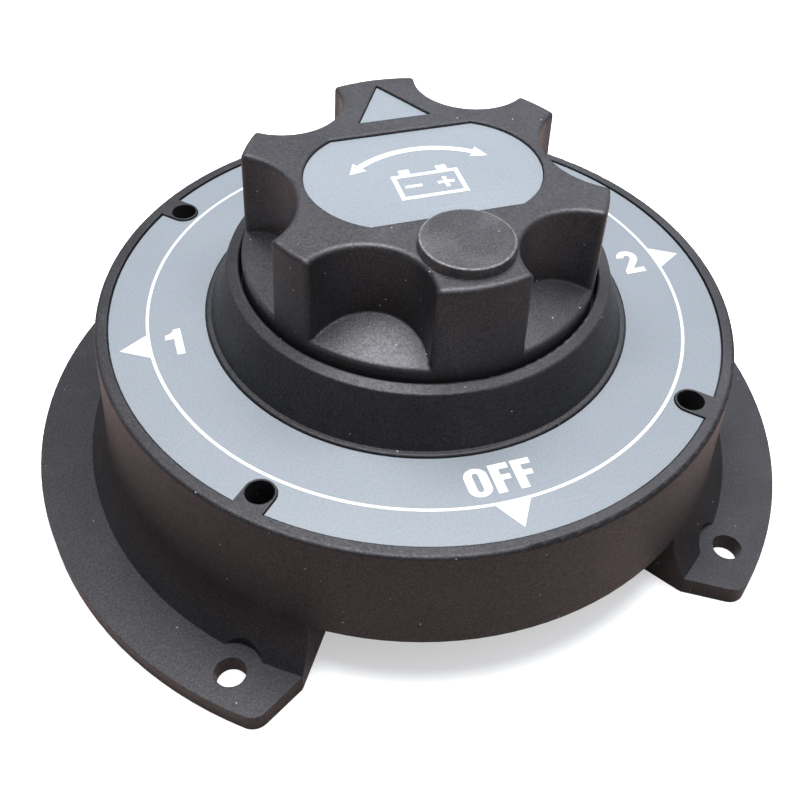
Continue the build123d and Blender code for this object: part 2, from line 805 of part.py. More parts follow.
lock_washer_bottom = terminal_nut_bottom + nut_height
slit_width = 1.2
slit_length = 2 * (lock_washer_radius - stud_radius) + 2
with BuildPart() as lock_washers:
    with BuildSketch(Plane.XY.offset(lock_washer_bottom)):
        for point in stud_points:
            with Locations(point):
                Circle(lock_washer_radius)
                Circle(stud_radius + 0.2, mode=Mode.SUBTRACT)
            with Locations((point[0], point[1] + lock_washer_radius)):
                Rectangle(slit_width, slit_length, rotation=25, mode=Mode.SUBTRACT)
    extrude(amount=lock_washer_thickness)

lock_washers.part.label = "lock_washers"
export_step(lock_washers.part, "parts/lock_washers.step")

flat_washer_bottom = lock_washer_bottom + lock_washer_thickness
with BuildPart() as flat_washers:
    with BuildSketch(Plane.XY.offset(flat_washer_bottom)):
        for point in stud_points:
            with Locations(point):
                Circle(flat_washer_radius)
                Circle(stud_radius + 0.2, mode=Mode.SUBTRACT)
    extrude(amount=flat_washer_thickness)

flat_washers.part.label = "flat_washers"
export_step(flat_washers.part, "parts/flat_washers.step")
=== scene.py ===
import json
from math import atan2, cos, pi, radians, sin, tau

import bmesh
import bpy
from mathutils import Matrix, Vector


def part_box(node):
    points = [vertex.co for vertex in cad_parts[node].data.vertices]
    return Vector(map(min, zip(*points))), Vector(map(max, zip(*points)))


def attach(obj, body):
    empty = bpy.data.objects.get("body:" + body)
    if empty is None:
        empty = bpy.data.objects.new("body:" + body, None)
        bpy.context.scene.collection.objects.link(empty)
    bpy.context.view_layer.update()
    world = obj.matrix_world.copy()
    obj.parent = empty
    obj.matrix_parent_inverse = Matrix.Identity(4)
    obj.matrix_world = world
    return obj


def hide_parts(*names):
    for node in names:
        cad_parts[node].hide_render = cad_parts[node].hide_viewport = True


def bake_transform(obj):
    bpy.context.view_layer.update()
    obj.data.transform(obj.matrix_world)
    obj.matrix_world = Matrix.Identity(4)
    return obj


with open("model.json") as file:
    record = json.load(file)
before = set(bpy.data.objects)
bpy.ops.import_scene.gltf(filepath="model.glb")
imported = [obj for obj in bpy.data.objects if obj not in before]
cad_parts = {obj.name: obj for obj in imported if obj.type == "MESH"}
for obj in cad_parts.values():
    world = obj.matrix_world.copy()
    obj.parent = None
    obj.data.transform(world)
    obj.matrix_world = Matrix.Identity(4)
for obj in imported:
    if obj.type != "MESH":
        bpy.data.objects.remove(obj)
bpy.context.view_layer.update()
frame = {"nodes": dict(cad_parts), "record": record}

# The looks of a rotary battery switch: materials, printed marks, stud threads, springs, stage and light.
# Lengths are in metres.
MM = 0.001

# ---- Places on the object, taken from the frame ----
label_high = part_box("face_label")[1]
label_top = label_high.z
label_radius = label_high.x
panel_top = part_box("knob_label")[1].z
stud_low, stud_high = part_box("terminal_studs")
plug_low, plug_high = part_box("lock_plug")
plug_top_centre = Vector(((plug_low.x + plug_high.x) / 2, (plug_low.y + plug_high.y) / 2, plug_high.z))
plug_radius = (plug_high.x - plug_low.x) / 2

# ---- Printed marks on the face ring ----
INK_HEIGHT = 0.03 * MM
RING_RADIUS = 0.8785 * label_radius
RING_HALF_LINE = 0.31 * MM
RING_STEPS = 280
QUARTER_STEPS = 60
ARROW_TIP = 0.971 * label_radius
ARROW_HALF_BASE = 3.3 * MM
WORD_HEIGHT = 6.5 * MM
WORD_RADIUS = 0.7925 * label_radius
OFF_SHIFT = -0.25 * MM
DIGIT_HEIGHT = 7.4 * MM
ONE_RADIUS = 0.8 * label_radius + 0.1 * MM
TWO_RADIUS = 0.7855 * label_radius

# ---- Lettering, in letter heights ----
LETTER_GAP = 0.09
STEM = 0.265
BAR = 0.2

# ---- Sign on the knob's panel: a turn arrow over a battery ----
TURN_CENTRE = (0, -12 * MM)
TURN_RADIUS = 20 * MM
TURN_HALF_LINE = 0.65 * MM
TURN_HALF_SWEEP = 34
TURN_HEAD_SWEEP = 9.0
BATTERY_CENTRE = (0, -3.6 * MM)
BATTERY_WIDTH = 13 * MM
BATTERY_HEIGHT = 7.6 * MM
BATTERY_LINE = 0.85 * MM

# ---- Threaded studs ----
THREAD_RADIUS = 4.76 * MM
THREAD_PITCH = 1.5875 * MM
THREAD_DEPTH = 0.75 * MM
THREAD_SIDES = 48
THREAD_ROWS_PER_PITCH = 6
STUD_HEAD_HEIGHT = 1.5 * MM
STUD_HEAD_RADIUS = 7.0 * MM

# ---- Coil springs ----
CONTACT_COIL = {"radius": 3.3 * MM, "wire": 0.5 * MM, "turns": 2}
DETENT_COIL = {"radius": 1.8 * MM, "wire": 0.3 * MM, "turns": 3}
FLAT_TURNS = 2
COIL_STEPS_PER_TURN = 36
WIRE_SIDES = 8

# ---- Grain of the moulded plastic, as the sizes of its features ----
CLOUD_SIZE = 14 * MM
MOTTLE_SIZE = 0.9 * MM
PATCH_SIZE = 3 * MM
RUB_SIZE = 30 * MM
GRIT_SIZE = 0.42 * MM
GRIT_DIM, GRIT_BRIGHT = 0.6, 1.45
GRAIN_SIZE = 0.45 * MM
RIPPLE_SIZE = 5 * MM
SPECK_SIZE, SPECK_SPACING = 0.17 * MM, 2.6 * MM
MOTE_SIZE, MOTE_SPACING = 0.1 * MM, 1.1 * MM

# ---- Camera and stage ----
CAMERA_PLACE = Vector((-0.0555, -0.1520, 0.1771))
CAMERA_AZIMUTH = radians(-19.24)
CAMERA_ELEVATION = radians(46.39)
CAMERA_ROLL = radians(2.93)
CAMERA_LENS = 45.94
CAMERA_NEAREST = 0.01
FLOOR_HALF_SIZE = 4.0
FLOOR_SQUARES = 8
FLOOR_LIFT = 0.4

# ---- Light. The distant lamps' azimuth, elevation and spread are in degrees ----
SOFTBOX_WIDTH = 0.36
SOFTBOX_HEIGHT = 0.43
SOFTBOX_BACK = 0.03
SOFTBOX_AZIMUTH = radians(170)
SOFTBOX_POWER = 5.35
COOL_WHITE = (0.97, 0.98, 1.0)
WARM_WHITE = (1.0, 0.99, 0.97)
FRONT_FILL = {"azimuth": 22, "elevation": 50, "spread": 60, "strength": 0.75, "colour": COOL_WHITE}
FROM_BELOW = {"azimuth": 165, "elevation": -52, "spread": 50, "strength": 6.0, "colour": WARM_WHITE}
WALL_START = -0.4
WALL_DIM, WALL_BRIGHT = 0.32, 1.08
BACKDROP = 1.1


# ---------------------------------------------------------------- material building blocks
class Nodes:
    """A node tree with short names for the nodes used most."""

    def __init__(self, tree):
        self.tree = tree

    def node(self, kind, inputs=None, **settings):
        made = self.tree.nodes.new("ShaderNode" + kind)
        for key, value in settings.items():
            setattr(made, key, value)
        for key, value in (inputs or {}).items():
            self.connect(made, key, value)
        return made

    def connect(self, node, socket, value):
        """Gives a node's input a number, a colour or another node's output."""
        if isinstance(value, bpy.types.NodeSocket):
            self.tree.links.new(value, node.inputs[socket])
        else:
            node.inputs[socket].default_value = value

    def maths(self, operation, a, b=0.0):
        return self.node("Math", {0: a, 1: b}, operation=operation).outputs[0]


class Shader(Nodes):
    """A material's node tree around one Principled BSDF."""

    def __init__(self, name):
        self.material = bpy.data.materials.new(name)
        self.material.use_nodes = True
        super().__init__(self.material.node_tree)
        self.bsdf = self.tree.nodes["Principled BSDF"]
        self.place = self.node("TexCoord").outputs["Object"]

    def feed(self, socket, value):
        self.connect(self.bsdf, socket, value)

    def noise(self, size, detail=2.0, roughness=0.5, stretch=(1, 1, 1), shift=0.0):
        """Noise whose features are about size metres across, 0 to 1."""
        mapped = self.node("Mapping", {"Vector": self.place, "Scale": stretch,
                                       "Location": (shift, shift, shift)})
        made = self.node("TexNoise", {"Vector": mapped.outputs[0], "Scale": 1 / size, "Detail": detail,
                                      "Roughness": roughness})
        return made.outputs["Fac"]

    def remap(self, value, low, high, to_low=0.0, to_high=1.0):
        made = self.node("MapRange", {"Value": value, "From Min": low, "From Max": high,
                                      "To Min": to_low, "To Max": to_high})
        return made.outputs[0]

    def mix(self, share, a, b):
        """Colour a where share is 0 and colour b where it is 1."""
        return self.node("Mix", {0: share, 6: a, 7: b}, data_type="RGBA").outputs[2]

    def brighten(self, factor, tone):
        return self.node("HueSaturation", {"Value": factor, "Color": tone}).outputs[0]

    def specks(self, spacing, size, keep):
        """Rare round specks of about size metres, one in a share keep of cells, 1 inside and 0 outside."""
        dots = self.node("TexVoronoi", {"Vector": self.place, "Scale": 1 / spacing, "Randomness": 1.0})
        near = self.remap(dots.outputs["Distance"], size / spacing, 0.6 * size / spacing)
        picked = self.node("SeparateColor", {0: dots.outputs["Color"]}).outputs[0]
        return self.maths("MULTIPLY", near, self.maths("GREATER_THAN", picked, 1 - keep))

    def edges(self, radius, full=0.92):
        """1 along sharp edges within radius metres and 0 on open faces."""
        rounded = self.node("Bevel", {"Radius": radius}, samples=4).outputs[0]
        true = self.node("NewGeometry").outputs["Normal"]
        agree = self.node("VectorMath", {0: rounded, 1: true}, operation="DOT_PRODUCT").outputs["Value"]
        return self.remap(agree, 1.0, full)

    def relief(self, heights, rounding=0.0):
        """Stacks bumps, each (height field, depth in metres, strength), over edges rounded by a bevel."""
        normal = self.node("Bevel", {"Radius": rounding}, samples=4).outputs[0] if rounding else None
        for field, depth, strength in heights:
            wired = {"Height": field, "Distance": depth, "Strength": strength}
            if normal is not None:
                wired["Normal"] = normal
            normal = self.node("Bump", wired).outputs[0]
        self.feed("Normal", normal)


def rgb(red, green, blue):
    return (red, green, blue, 1.0)


def grey(level):
    return rgb(level, level, level)


# ---------------------------------------------------------------- materials
def rim_line(s, top_centre, radius):
    """1 in broken stretches along the upper edge of an upright disc, given the centre of its top."""
    offset = s.node("VectorMath", {0: s.place, 1: top_centre}, operation="SUBTRACT").outputs[0]
    flat = s.node("VectorMath", {0: offset, 1: (1, 1, 0)}, operation="MULTIPLY").outputs[0]
    reach = s.node("VectorMath", {0: flat}, operation="LENGTH").outputs["Value"]
    drop = s.node("SeparateXYZ", {0: offset}).outputs[2]
    outer = s.remap(reach, 0.92 * radius, 0.965 * radius)
    upper = s.remap(drop, -0.3 * MM, -0.05 * MM)
    scuffs = s.remap(s.noise(0.7 * MM, detail=4, roughness=0.8, shift=17.0), 0.4, 0.62)
    return s.maths("MULTIPLY", s.maths("MULTIPLY", outer, upper), scuffs)


def dust_and_sheen_film(s, cloud, weight):
    """A cloudy pale film on upward faces, thicker towards +X: partly dust and partly painted sheen, which
    lightens the tops and more so towards +X.
    """
    across = s.node("SeparateXYZ", {0: s.place}).outputs[0]
    normal = s.node("NewGeometry").outputs["Normal"]
    upward = s.remap(s.node("SeparateXYZ", {0: normal}).outputs[2], 0.6, 0.95)
    # The share grows towards +X, where painted sheen lightens the tops.
    sheen_and_dust_drift = s.maths("ADD", s.remap(across, -25 * MM, 30 * MM), s.remap(cloud, 0.3, 0.7, -0.3, 0.3))
    return s.maths("MULTIPLY", s.maths("MULTIPLY", sheen_and_dust_drift, weight), upward)


def moulded_plastic(name, dark, light, worn, sheen=0.35, matt=0.5, dust=0.012, edge_share=0.3, rough=0.6,
                    film=0.0, rim=None, rounding=0.35 * MM):
    """Dark moulded plastic: cloudy tone, fine matt grain, paler worn edges, rubbed patches, dust, and a pale
    film on upward faces that is partly dust and partly painted sheen.
    """
    s = Shader(name)
    cloud = s.noise(CLOUD_SIZE, detail=4, roughness=0.6)
    mottle = s.noise(MOTTLE_SIZE, detail=3, roughness=0.7, shift=3.0)
    tone = s.mix(s.remap(cloud, 0.3, 0.7), dark, light)
    tone = s.mix(s.remap(mottle, 0.35, 0.75, 0.0, 0.35), tone, light)
    patchy = s.remap(s.noise(PATCH_SIZE, detail=3, roughness=0.7, shift=7.0), 0.42, 0.62)
    worn_share = s.maths("ADD", s.maths("MULTIPLY", patchy, 0.45), edge_share)
    tone = s.mix(s.maths("MULTIPLY", s.edges(0.5 * MM), worn_share), tone, worn)
    rub = s.remap(s.noise(RUB_SIZE, detail=5, roughness=0.65, shift=11.0), 0.5, 0.75, 0.0, 0.3)
    tone = s.mix(rub, tone, worn)
    speckle = s.noise(GRIT_SIZE, detail=2, roughness=0.75, shift=13.0)
    grit = s.remap(speckle, 0.34, 0.66, GRIT_DIM, GRIT_BRIGHT)
    tone = s.brighten(grit, tone)
    if rim:
        tone = s.mix(rim_line(s, *rim), tone, worn)
    # Painted sheen and dust: a pale film on upward faces, heavier towards +X, lightens the tops.
    if film:
        tone = s.mix(dust_and_sheen_film(s, cloud, film), tone, rgb(0.115, 0.115, 0.128))
    specks = s.specks(SPECK_SPACING, SPECK_SIZE, dust)
    motes = s.specks(MOTE_SPACING, MOTE_SIZE, 0.4 * dust)
    tone = s.mix(s.maths("MULTIPLY", motes, 0.5), tone, rgb(0.16, 0.16, 0.165))
    tone = s.mix(specks, tone, grey(0.27))
    s.feed("Base Color", tone)
    s.feed("Roughness", s.remap(mottle, 0.3, 0.7, matt - 0.06, matt + 0.08))
    s.feed("Specular IOR Level", s.remap(grit, GRIT_DIM, GRIT_BRIGHT, 0.78 * sheen, 1.22 * sheen))
    s.feed("Specular Tint", rgb(1.0, 0.965, 1.02))
    grain = s.noise(GRAIN_SIZE, detail=3, roughness=0.7, shift=5.0)
    ripple = s.noise(RIPPLE_SIZE, detail=2, shift=9.0)
    s.relief([(ripple, 0.06 * MM, 0.25), (grain, 0.05 * MM, rough), (specks, 0.05 * MM, 0.6)], rounding)
    return s.material


def housing_plastic():
    return moulded_plastic("moulded_housing", rgb(0.0056, 0.0057, 0.0063), rgb(0.0092, 0.0093, 0.0102),
                           rgb(0.020, 0.020, 0.0215), sheen=0.27, matt=0.47, dust=0.3, film=0.1)


def knob_plastic():
    return moulded_plastic("moulded_knob", rgb(0.0070, 0.0071, 0.0079), rgb(0.0115, 0.0116, 0.0128),
                           rgb(0.028, 0.028, 0.030), sheen=0.37, matt=0.42, dust=0.55, rough=0.5, film=0.05,
                           rounding=0.8 * MM)


def plug_plastic():
    return moulded_plastic("moulded_plug", rgb(0.0085, 0.0086, 0.0095), rgb(0.0145, 0.0147, 0.016),
                           rgb(0.15, 0.15, 0.152), sheen=0.36, matt=0.44, dust=0.8, edge_share=0.25,
                           rim=(plug_top_centre, plug_radius))


def cover_plastic():
    return moulded_plastic("moulded_cover", rgb(0.016, 0.0155, 0.015), rgb(0.025, 0.024, 0.023),
                           rgb(0.045, 0.044, 0.042))


def label_film(name):
    """Blue-grey satin printed film: faint mottle, hairline scratches, dust and a softly worn cut edge."""
    s = Shader(name)
    mottle = s.noise(0.45 * MM, detail=3, roughness=0.75)
    cloud = s.noise(16 * MM, detail=3, shift=4.0)
    hue = s.remap(s.noise(1.6 * MM, detail=3, roughness=0.6, shift=15.0), 0.36, 0.64)
    tone = s.mix(hue, rgb(0.117, 0.139, 0.150), rgb(0.126, 0.134, 0.156))
    tone = s.mix(s.remap(cloud, 0.35, 0.7, 0.0, 0.5), tone, rgb(0.128, 0.145, 0.160))
    tone = s.brighten(s.remap(mottle, 0.3, 0.7, 0.86, 1.14), tone)
    tone = s.mix(s.maths("MULTIPLY", s.edges(0.2 * MM), 0.2), tone, rgb(0.05, 0.055, 0.062))
    scratch = s.noise(2.2 * MM, detail=2, roughness=0.4, stretch=(0.06, 2.6, 1), shift=2.0)
    tone = s.mix(s.remap(scratch, 0.72, 0.75, 0.0, 0.12), tone, rgb(0.2, 0.21, 0.23))
    specks = s.specks(3.4 * MM, 0.09 * MM, 0.05)
    tone = s.mix(specks, tone, rgb(0.3, 0.29, 0.27))
    s.feed("Base Color", tone)
    s.feed("Roughness", s.remap(cloud, 0.3, 0.7, 0.38, 0.46))
    s.feed("Specular IOR Level", 0.34)
    grain = s.noise(0.25 * MM, detail=2, shift=6.0)
    s.relief([(grain, 0.01 * MM, 0.4), (scratch, 0.01 * MM, 0.15)], 0.12 * MM)
    return s.material


def white_ink(name):
    """Screen-printed white, slightly uneven and a little worn."""
    s = Shader(name)
    uneven = s.noise(0.5 * MM, detail=3, roughness=0.7)
    thin = s.remap(s.noise(4 * MM, detail=5, roughness=0.8, shift=8.0), 0.68, 0.8, 0.0, 0.35)
    tone = s.mix(s.remap(uneven, 0.3, 0.7), grey(0.35), grey(0.41))
    tone = s.mix(thin, tone, rgb(0.27, 0.28, 0.30))
    s.feed("Base Color", tone)
    s.feed("Roughness", 0.45)
    s.relief([(uneven, 0.01 * MM, 0.3)])
    return s.material


def metal(name, bright, dull, roughness):
    """Machined or drawn metal with fine grain, tarnish clouds and bright edges."""
    s = Shader(name)
    tarnish = s.remap(s.noise(4 * MM, detail=5, roughness=0.7), 0.4, 0.7)
    fine = s.noise(0.35 * MM, detail=3, roughness=0.6, shift=2.0)
    tone = s.mix(tarnish, bright, dull)
    tone = s.mix(s.maths("MULTIPLY", s.edges(0.3 * MM), 0.5), tone, bright)
    s.feed("Base Color", tone)
    s.feed("Metallic", 1.0)
    streaks = s.remap(fine, 0.3, 0.7, -0.07, 0.07)
    s.feed("Roughness", s.maths("ADD", streaks, s.remap(tarnish, 0, 1, roughness, roughness + 0.14)))
    s.relief([(fine, 0.012 * MM, 0.5)], 0.15 * MM)
    return s.material


def soft_rubber(name):
    """Black rubber with a dusty bloom."""
    s = Shader(name)
    bloom = s.noise(2 * MM, detail=4, roughness=0.7)
    tone = s.mix(s.remap(bloom, 0.4, 0.8, 0.0, 0.6), grey(0.012), rgb(0.06, 0.058, 0.055))
    s.feed("Base Color", tone)
    s.feed("Roughness", s.remap(bloom, 0.3, 0.7, 0.65, 0.85))
    s.relief([(s.noise(0.2 * MM, shift=3.0), 0.02 * MM, 0.5)], 0.1 * MM)
    return s.material


def pale_floor(name):
    """A plain matt pale table top, clear from below so that the underside can be seen.

    Its bounce on the object is dimmer and warmer than its own look, and its shadows are lifted.
    """
    s = Shader(name)
    seen = s.node("LightPath").outputs["Is Camera Ray"]
    pale = s.mix(s.noise(0.4, detail=3), grey(0.66), grey(0.70))
    s.feed("Base Color", s.mix(seen, rgb(0.40, 0.305, 0.28), pale))
    s.feed("Roughness", 0.8)
    s.feed("Specular IOR Level", 0.0)
    s.feed("Emission Color", grey(1.0))
    s.feed("Emission Strength", s.maths("MULTIPLY", seen, FLOOR_LIFT))
    below = s.node("NewGeometry").outputs["Backfacing"]
    shadow = s.node("LightPath").outputs["Is Shadow Ray"]
    open_share = s.maths("MAXIMUM", s.maths("MULTIPLY", seen, below), shadow)
    clear = s.node("BsdfTransparent").outputs[0]
    surface = s.node("MixShader", {0: open_share, 1: s.bsdf.outputs[0], 2: clear}).outputs[0]
    s.connect(s.tree.nodes["Material Output"], "Surface", surface)
    return s.material


MATERIALS = {
    "housing_plastic": housing_plastic(),
    "knob_plastic": knob_plastic(),
    "plug_plastic": plug_plastic(),
    "cover_plastic": cover_plastic(),
    "label_film": label_film("blue_grey_film"),
    "zinc_steel": metal("plated_steel", rgb(0.72, 0.71, 0.67), rgb(0.5, 0.49, 0.45), 0.28),
    "spring_steel": metal("spring_wire", grey(0.55), rgb(0.34, 0.33, 0.32), 0.3),
    "brass": metal("machined_brass", rgb(0.86, 0.66, 0.33), rgb(0.58, 0.41, 0.2), 0.25),
    "copper": metal("rolled_copper", rgb(0.9, 0.52, 0.37), rgb(0.55, 0.3, 0.2), 0.3),
    "seal_rubber": soft_rubber("black_rubber"),
}
INK = white_ink("white_ink")


def dress_cad_nodes():
    """Gives each CAD node the material of its slot in the record."""
    for entry in frame["record"]["subparts"]:
        mesh = frame["nodes"][entry["node"]].data
        mesh.materials.clear()
        mesh.materials.append(MATERIALS[entry["material_slot"]])


# ---------------------------------------------------------------- making pieces
def mesh_of(build, name):
    """Turns a bmesh into a mesh and frees it."""
    mesh = bpy.data.meshes.new(name)
    build.to_mesh(mesh)
    build.free()
    return mesh


def place_in_scene(name, data):
    made = bpy.data.objects.new(name, data)
    bpy.context.scene.collection.objects.link(made)
    return made


def dressed_piece(name, mesh, material):
    mesh.materials.clear()
    mesh.materials.append(material)
    return place_in_scene(name, mesh)


def skin(build, rings):
    """Joins a row of vertex rings into one tube with flat ends."""
    count = len(rings[0])
    for near, far in zip(rings, rings[1:]):
        for k in range(count):
            n = (k + 1) % count
            build.faces.new((near[k], near[n], far[n], far[k]))
    build.faces.new(reversed(rings[0]))
    build.faces.new(rings[-1])


# ---------------------------------------------------------------- printed marks
def arc(cx, cy, rx, ry, start, stop, steps=14):
    """Points on an ellipse's arc between two angles in degrees."""
    turns = [radians(start + (stop - start) * k / steps) for k in range(steps + 1)]
    return [(cx + rx * cos(t), cy + ry * sin(t)) for t in turns]


def capsule(x, y, width, height, corner):
    """A rectangle with elliptical corners, corner being their height."""
    rx = width / 2
    loop = arc(x + rx, y + height - corner, rx, corner, 0, 180)
    return loop + arc(x + rx, y + corner, rx, corner, 180, 360)


def glyph(letter):
    """(closed loops, width) of a heavy condensed letter one unit high."""
    if letter == "O":
        return [capsule(0, 0, 0.68, 1, 0.3), capsule(0.25, 0.17, 0.18, 0.66, 0.1)], 0.68
    if letter == "F":
        return [[(0, 0), (0, 1), (0.56, 1), (0.56, 1 - BAR), (STEM, 1 - BAR), (STEM, 0.6), (0.52, 0.6),
                 (0.52, 0.42), (STEM, 0.42), (STEM, 0)]], 0.56
    if letter == "L":
        return [[(0, 0), (0, 1), (STEM, 1), (STEM, BAR), (0.54, BAR), (0.54, 0)]], 0.54
    if letter == "A":
        outer = [(0, 0), (0.22, 1), (0.52, 1), (0.74, 0), (0.49, 0), (0.45, 0.19), (0.29, 0.19), (0.25, 0)]
        return [outer, [(0.32, 0.36), (0.42, 0.36), (0.37, 0.7)]], 0.74
    if letter == "1":
        flag = arc(0.02, 1.08, 0.26, 0.28, -90, -17, 8)
        return [[(0.24, 0), (0.24, 0.62), (0, 0.62)] + flag + [(0.45, 1), (0.45, 0)]], 0.45
    centre = (0.31, 0.69)
    outer = arc(*centre, 0.31, 0.31, 172, -38, 20)
    inner = arc(*centre, 0.095, 0.115, -38, 172, 14)
    foot = [(0.3, 0.2), (0.62, 0.2), (0.62, 0), (0, 0), (0.02, 0.14)]
    return [outer + foot + inner], 0.62


def word_loops(word, height, centre):
    """Loops of a word of the given height, centred on a point."""
    shapes = [glyph(letter) for letter in word]
    total = sum(width for _, width in shapes) + LETTER_GAP * (len(word) - 1)
    loops, pen = [], -total / 2
    for glyph_loops, width in shapes:
        for loop in glyph_loops:
            loops.append([(centre[0] + (pen + x) * height, centre[1] + (y - 0.5) * height) for x, y in loop])
        pen += width + LETTER_GAP
    return loops


def print_mark(name, loops, surface, body):
    """A thin layer of ink bounded by loops, lying on a surface at height surface."""
    curve = bpy.data.curves.new(name, "CURVE")
    curve.dimensions = "2D"
    curve.fill_mode = "BOTH"
    curve.extrude = INK_HEIGHT / 2
    for loop in loops:
        spline = curve.splines.new("POLY")
        spline.points.add(len(loop) - 1)
        for point, (x, y) in zip(spline.points, loop):
            point.co = (x, y, 0, 1)
        spline.use_cyclic_u = True
    drawn = place_in_scene(name + "_curve", curve)
    bpy.context.view_layer.update()
    mesh = bpy.data.meshes.new_from_object(drawn.evaluated_get(bpy.context.evaluated_depsgraph_get()))
    bpy.data.objects.remove(drawn)
    mesh.transform(Matrix.Translation((0, 0, surface + INK_HEIGHT / 2)))
    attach(dressed_piece(name, mesh, INK), body)


def ring_and_arrows():
    """The printed circle with an outward arrow at each of the four positions, as one outline and its hole."""
    outer_edge = RING_RADIUS + RING_HALF_LINE
    inner_edge = RING_RADIUS - RING_HALF_LINE
    half_turn = atan2(ARROW_HALF_BASE, outer_edge)
    outline = []
    for quarter in range(4):
        facing = quarter * pi / 2
        outline.append((ARROW_TIP * cos(facing), ARROW_TIP * sin(facing)))
        start, stop = facing + half_turn, facing + pi / 2 - half_turn
        for k in range(QUARTER_STEPS + 1):
            turn = start + (stop - start) * k / QUARTER_STEPS
            outline.append((outer_edge * cos(turn), outer_edge * sin(turn)))
    turns = [tau * k / RING_STEPS for k in range(RING_STEPS)]
    return [outline, [(inner_edge * cos(turn), inner_edge * sin(turn)) for turn in turns]]


def turn_arrow(centre, radius, half_line, half_sweep):
    """A two-headed arrow bent round a centre below it, angles in degrees."""
    head = 2.6 * half_line
    left, right = 90 + half_sweep, 90 - half_sweep

    def at(reach, angle):
        return (centre[0] + reach * cos(radians(angle)), centre[1] + reach * sin(radians(angle)))

    loop = arc(*centre, radius + half_line, radius + half_line, right, left, 28)
    loop += [at(radius + head, left), at(radius, left + TURN_HEAD_SWEEP), at(radius - head, left)]
    loop += arc(*centre, radius - half_line, radius - half_line, left, right, 28)
    loop += [at(radius - head, right), at(radius, right - TURN_HEAD_SWEEP), at(radius + head, right)]
    return loop


def box_loop(cx, cy, width, height):
    x, y = width / 2, height / 2
    return [(cx - x, cy - y), (cx + x, cy - y), (cx + x, cy + y), (cx - x, cy + y)]


def plus_loop(cx, cy, arm, half):
    """A plus with arms of length arm and of half-width half."""
    return [(cx - arm, cy - half), (cx - half, cy - half), (cx - half, cy - arm), (cx + half, cy - arm),
            (cx + half, cy - half), (cx + arm, cy - half), (cx + arm, cy + half), (cx + half, cy + half),
            (cx + half, cy + arm), (cx - half, cy + arm), (cx - half, cy + half), (cx - arm, cy + half)]


def battery_sign(centre, width, height, line):
    """A plain battery pictogram: a box with two posts, a minus and a plus."""
    cx, cy = centre
    loops = [box_loop(cx, cy, width, height), box_loop(cx, cy, width - 2 * line, height - 2 * line)]
    post_y = cy + height / 2 + line
    for side in (-1, 1):
        loops.append(box_loop(cx + side * width * 0.28, post_y, 2.4 * line, 1.6 * line))
    arm, half = 1.9 * line, 0.45 * line
    loops.append(plus_loop(cx + width * 0.24, cy, arm, half))
    loops.append(box_loop(cx - width * 0.24, cy, 2 * arm, 2 * half))
    return loops


def print_face():
    """All printing: the dial ring's marks and the knob panel's sign."""
    print_mark("printed_ring", ring_and_arrows(), label_top, "switch_base")
    marks = {
        "mark_off": ("OFF", WORD_HEIGHT, (OFF_SHIFT, -WORD_RADIUS)),
        "mark_all": ("ALL", WORD_HEIGHT, (0, WORD_RADIUS)),
        "mark_1": ("1", DIGIT_HEIGHT, (-ONE_RADIUS, 0)),
        "mark_2": ("2", DIGIT_HEIGHT, (TWO_RADIUS, 0)),
    }
    for name, word in marks.items():
        print_mark(name, word_loops(*word), label_top, "switch_base")
    sign = [turn_arrow(TURN_CENTRE, TURN_RADIUS, TURN_HALF_LINE, TURN_HALF_SWEEP)]
    sign += battery_sign(BATTERY_CENTRE, BATTERY_WIDTH, BATTERY_HEIGHT, BATTERY_LINE)
    print_mark("panel_sign", sign, panel_top, "knob_assembly")


# ---------------------------------------------------------------- threaded studs
def threaded_stud(build, centre, bottom, shoulder, top):
    """Adds a stud to a bmesh as one closed skin: a helical thread from bottom to shoulder, and a flat head."""
    rows = int((shoulder - bottom) / THREAD_PITCH * THREAD_ROWS_PER_PITCH)
    levels = []
    for row in range(rows + 1):
        z = bottom + (shoulder - bottom) * row / rows
        lead = min(1.0, (z - bottom) / THREAD_PITCH)
        tip_cut = 0.6 * THREAD_DEPTH * (1 - lead)
        phases = [(z / THREAD_PITCH - k / THREAD_SIDES) % 1.0 for k in range(THREAD_SIDES)]
        levels.append((z, [THREAD_RADIUS - THREAD_DEPTH * abs(2 * phase - 1) - tip_cut for phase in phases]))
    head = [STUD_HEAD_RADIUS] * THREAD_SIDES
    levels += [(shoulder, head), (top, head)]
    rings = []
    for z, reaches in levels:
        around = [(reach, tau * k / THREAD_SIDES) for k, reach in enumerate(reaches)]
        rings.append([build.verts.new((centre[0] + reach * cos(turn), centre[1] + reach * sin(turn), z))
                      for reach, turn in around])
    skin(build, rings)


def stud_threads():
    """Three threaded studs in place of the plain CAD ones, with their flat heads."""
    ring_radius = (stud_high.x - stud_low.x) / 2 - STUD_HEAD_RADIUS
    build = bmesh.new()
    for place in ((-ring_radius, 0), (ring_radius, 0), (0, -ring_radius)):
        threaded_stud(build, place, stud_low.z, stud_high.z - STUD_HEAD_HEIGHT, stud_high.z)
    piece = dressed_piece("stud_threads", mesh_of(build, "stud_threads"), MATERIALS["brass"])
    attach(piece, "switch_base")
    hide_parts("terminal_studs")


# ---------------------------------------------------------------- coil springs
def coil(build, centre, bottom, top, radius, wire, turns):
    """Adds an upright round-wire coil to a bmesh, its end turns lying flat."""
    all_turns = turns + FLAT_TURNS
    steps = COIL_STEPS_PER_TURN * all_turns
    rings = []
    for k in range(steps + 1):
        wound = all_turns * k / steps
        climb = min(1.0, max(0.0, (wound - 1) / turns))
        outward = Vector((cos(tau * wound), sin(tau * wound), 0))
        height = bottom + wire + (top - bottom - 2 * wire) * climb
        spine = Vector((*centre, height)) + outward * radius
        section = [tau * n / WIRE_SIDES for n in range(WIRE_SIDES)]
        rings.append([build.verts.new(spine + outward * wire * cos(t) + Vector((0, 0, wire * sin(t))))
                      for t in section])
    skin(build, rings)


